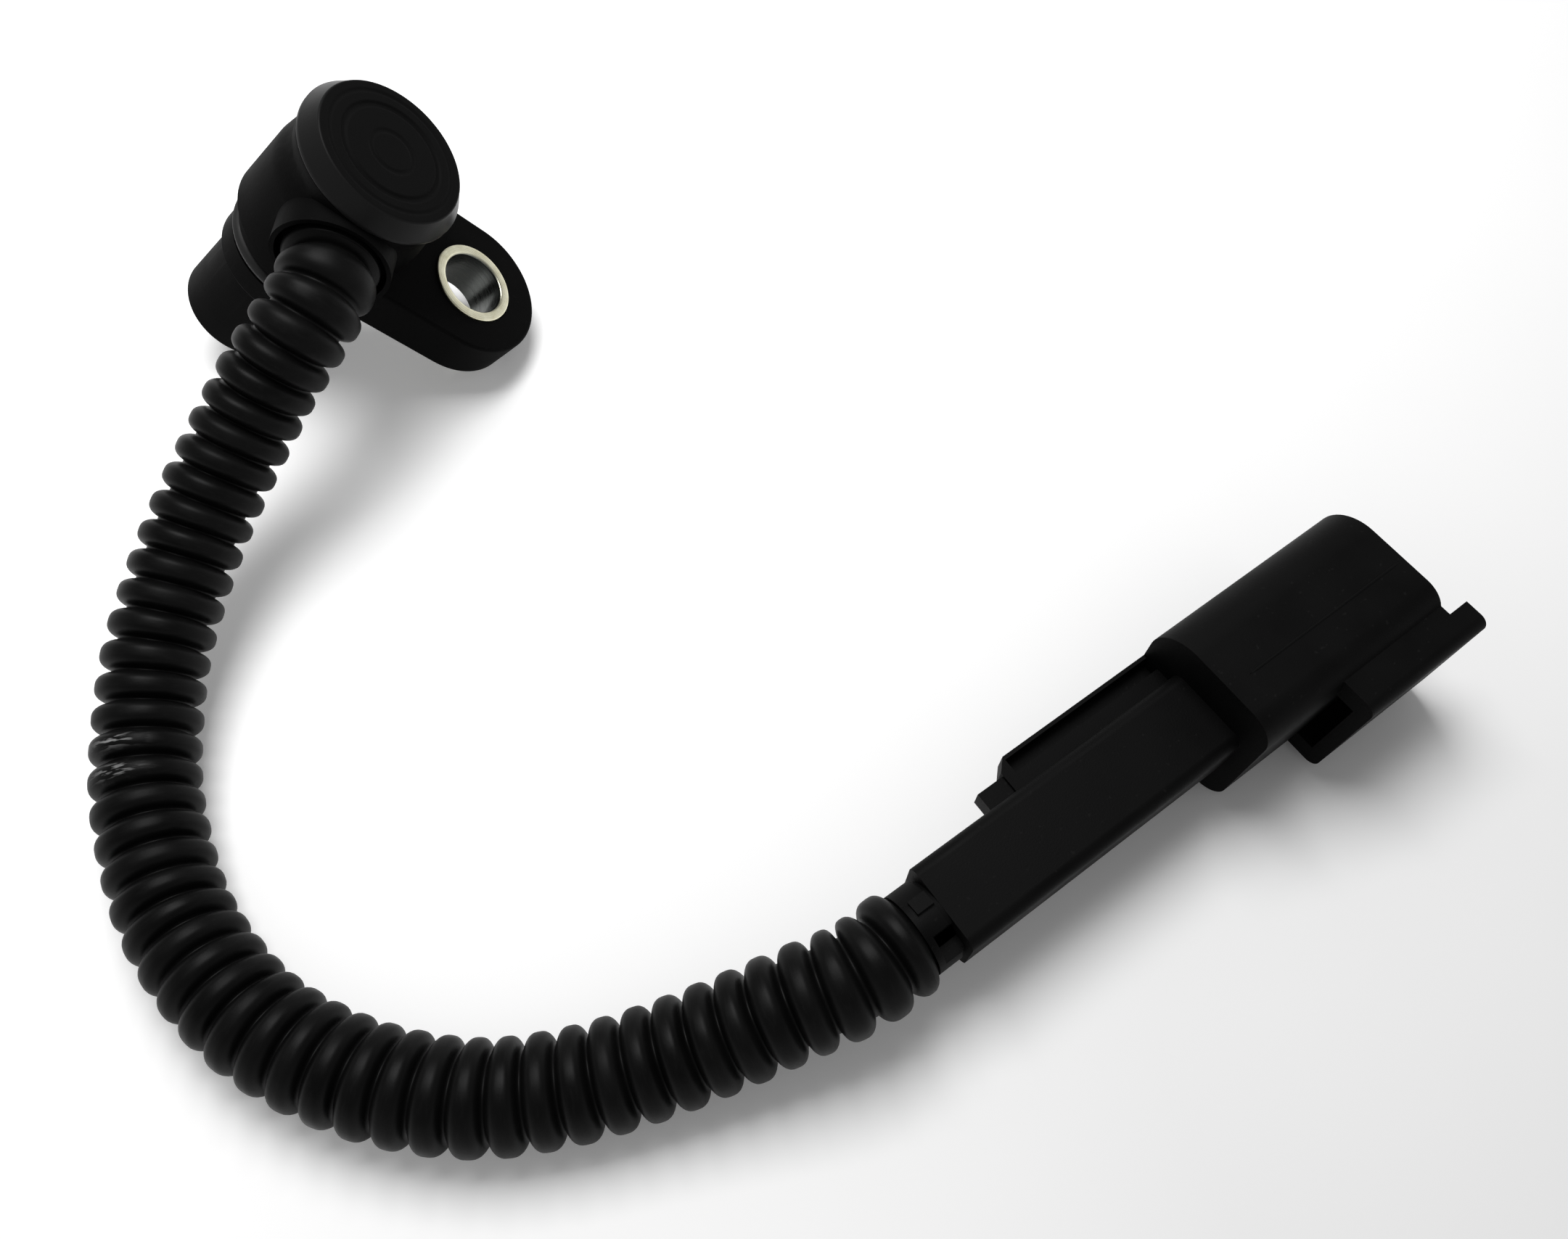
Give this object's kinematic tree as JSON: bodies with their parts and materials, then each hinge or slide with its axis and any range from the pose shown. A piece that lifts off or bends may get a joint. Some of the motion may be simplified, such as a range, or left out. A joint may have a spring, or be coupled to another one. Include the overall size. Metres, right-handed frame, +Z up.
{
  "type": "crankshaft position sensor",
  "caption": "Bolt-on black crankshaft position sensor with a flanged sensing head, a short corrugated conduit and a shrouded male connector, lying at rest.",
  "frame": {"origin": "on the surface the part lies on, below the middle of the sensing head without its conduit and connector", "axes": "+X along the connector towards its mating half, +Z up from the surface"},
  "size_m": [0.1203, 0.1229, 0.0355],
  "materials": {
    "moulded_plastic": "satin black, fine moulded grain",
    "conduit_plastic": "satin black, scuffed on the crests",
    "zinc_steel": "pale yellow zinc plating",
    "seal_rubber": "matte black",
    "soft_iron": "turned iron",
    "magnet_alloy": "sintered grey",
    "bobbin_plastic": "natural",
    "copper_wire": "enamelled copper",
    "terminal_brass": "bright brass",
    "tinned_blade": "tin plated",
    "black_insulation": "smooth",
    "brown_insulation": "smooth",
    "red_silicone": "matte red-brown"
  },
  "bodies": {
    "root": {"sensor_housing": "moulded_plastic", "rear_cap": "moulded_plastic", "compression_limiter": "zinc_steel", "o_ring": "seal_rubber", "pole_piece": "soft_iron", "magnet": "magnet_alloy", "coil_bobbin": "bobbin_plastic", "coil_winding": "copper_wire", "head_terminal_1": "terminal_brass", "head_terminal_2": "terminal_brass", "lead_wire_1": "black_insulation", "lead_wire_2": "brown_insulation", "conduit": "conduit_plastic", "conduit_collar": "moulded_plastic", "connector_housing": "moulded_plastic", "blade_terminal_1": "tinned_blade", "blade_terminal_2": "tinned_blade", "wire_seal_1": "red_silicone", "wire_seal_2": "red_silicone", "secondary_lock": "moulded_plastic"}
  },
  "joints": []
}
